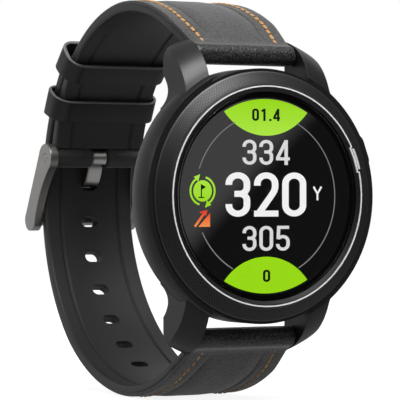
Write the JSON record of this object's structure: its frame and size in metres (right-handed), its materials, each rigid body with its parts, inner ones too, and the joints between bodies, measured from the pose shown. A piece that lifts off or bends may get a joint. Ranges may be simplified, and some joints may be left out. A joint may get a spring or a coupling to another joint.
{
  "type": "golf gps watch",
  "caption": "Round golf GPS watch with a knurled bezel, touch display and side button, on a stitched leather strap lined with silicone and closed by a pin buckle and keepers.",
  "frame": {"origin": "centre of the case back's flat face, which lies against the wrist", "axes": "+X to 3 o'clock, +Z to 12 o'clock, +Y out of the case back towards the wrist, so the dial faces -Y"},
  "size_m": [0.0465, 0.0719, 0.0712],
  "materials": {
    "case_black": "fine matte, moulded",
    "bezel_black": "anodised black, finely knurled",
    "trim_silver": "polished",
    "marker_white": "glossy",
    "cover_glass": "polished",
    "seal_rubber": "smooth",
    "display_black": "glossy",
    "flex_amber": "glossy film",
    "frame_grey": "moulded",
    "board_green": "solder mask",
    "tin_plate": "tinned",
    "antenna_copper": "plated",
    "cell_foil": "foil pouch",
    "back_grey": "fine matte",
    "screw_steel": "plain",
    "contact_gold": "gold plated",
    "spring_steel": "plain",
    "strap_leather": "fine grain, stitched edges",
    "strap_silicone": "fine matte",
    "keeper_black": "satin",
    "buckle_steel": "bead blasted"
  },
  "bodies": {
    "case": {"case_body": "case_black", "bezel": "bezel_black", "trim_ring": "trim_silver", "bezel_marker": "marker_white", "crystal": "cover_glass", "crystal_gasket": "seal_rubber", "display_panel": "display_black", "display_flex": "flex_amber", "inner_frame": "frame_grey", "main_board": "board_green", "shield_can": "tin_plate", "gps_antenna": "antenna_copper", "battery": "cell_foil", "vibration_motor": "tin_plate", "case_back": "back_grey", "back_gasket": "seal_rubber", "case_screws": "screw_steel", "charging_contacts": "contact_gold", "button_spring": "spring_steel", "upper_bar_tube": "spring_steel", "lower_bar_tube": "spring_steel", "upper_bar_spring": "spring_steel", "lower_bar_spring": "spring_steel"},
    "button": {"button_cap": "case_black", "button_seal": "seal_rubber", "button_clip": "spring_steel"},
    "upper_tip_left": {"upper_bar_tip_left": "spring_steel"},
    "upper_tip_right": {"upper_bar_tip_right": "spring_steel"},
    "lower_tip_left": {"lower_bar_tip_left": "spring_steel"},
    "lower_tip_right": {"lower_bar_tip_right": "spring_steel"},
    "upper_strap": {"upper_strap_leather": "strap_leather", "upper_strap_lining": "strap_silicone", "fixed_keeper": "keeper_black"},
    "keeper": {"sliding_keeper": "keeper_black"},
    "buckle": {"buckle_frame": "buckle_steel", "buckle_pin": "buckle_steel"},
    "tang": {"buckle_tang": "buckle_steel"},
    "lower_strap": {"lower_strap_leather": "strap_leather", "lower_strap_lining": "strap_silicone"}
  },
  "joints": [
    {"name": "button_press", "type": "slide", "parent": "case", "child": "button", "axis": [-0.9397, 0, -0.342], "range_m": [0, 0.0007], "stiffness_N_per_m": 900, "springref_m": -0.0005, "deforming": ["button_spring"]},
    {"name": "upper_tip_left_press", "type": "slide", "parent": "case", "child": "upper_tip_left", "axis": [1, 0, 0], "range_m": [0, 0.0009], "stiffness_N_per_m": 400, "springref_m": -0.0015, "deforming": ["upper_bar_spring"]},
    {"name": "upper_tip_right_press", "type": "slide", "parent": "case", "child": "upper_tip_right", "axis": [-1, 0, 0], "range_m": [0, 0.0009], "stiffness_N_per_m": 400, "springref_m": -0.0015, "deforming": ["upper_bar_spring"]},
    {"name": "lower_tip_left_press", "type": "slide", "parent": "case", "child": "lower_tip_left", "axis": [1, 0, 0], "range_m": [0, 0.0009], "stiffness_N_per_m": 400, "springref_m": -0.0015, "deforming": ["lower_bar_spring"]},
    {"name": "lower_tip_right_press", "type": "slide", "parent": "case", "child": "lower_tip_right", "axis": [-1, 0, 0], "range_m": [0, 0.0009], "stiffness_N_per_m": 400, "springref_m": -0.0015, "deforming": ["lower_bar_spring"]},
    {"name": "lower_strap_swing", "type": "hinge", "parent": "case", "child": "lower_strap", "pos_m": [0, -0.00385, -0.0245], "axis": [-1, 0, 0], "range_deg": [0, 75], "deforming": ["lower_strap_leather", "lower_strap_lining"]},
    {"name": "upper_strap_swing", "type": "hinge", "parent": "case", "child": "upper_strap", "pos_m": [0, -0.00385, 0.0245], "axis": [1, 0, 0], "range_deg": [0, 60]},
    {"name": "keeper_slide", "type": "hinge", "parent": "upper_strap", "child": "keeper", "pos_m": [0, 0.0202, 0.00359], "axis": [1, 0, 0], "range_deg": [-7, 26]},
    {"name": "buckle_pivot", "type": "hinge", "parent": "upper_strap", "child": "buckle", "pos_m": [0, 0.05053, 0.00731], "axis": [1, 0, 0], "range_deg": [0, 30]},
    {"name": "tang_pivot", "type": "hinge", "parent": "upper_strap", "child": "tang", "pos_m": [0, 0.05053, 0.00731], "axis": [1, 0, 0], "range_deg": [0, 45]}
  ],
  "couplings": [
    {"joint": "upper_strap_swing", "follows": "lower_strap_swing", "ratio": 0.8},
    {"joint": "buckle_pivot", "follows": "lower_strap_swing", "ratio": 0.4},
    {"joint": "tang_pivot", "follows": "lower_strap_swing", "ratio": 0.6}
  ]
}
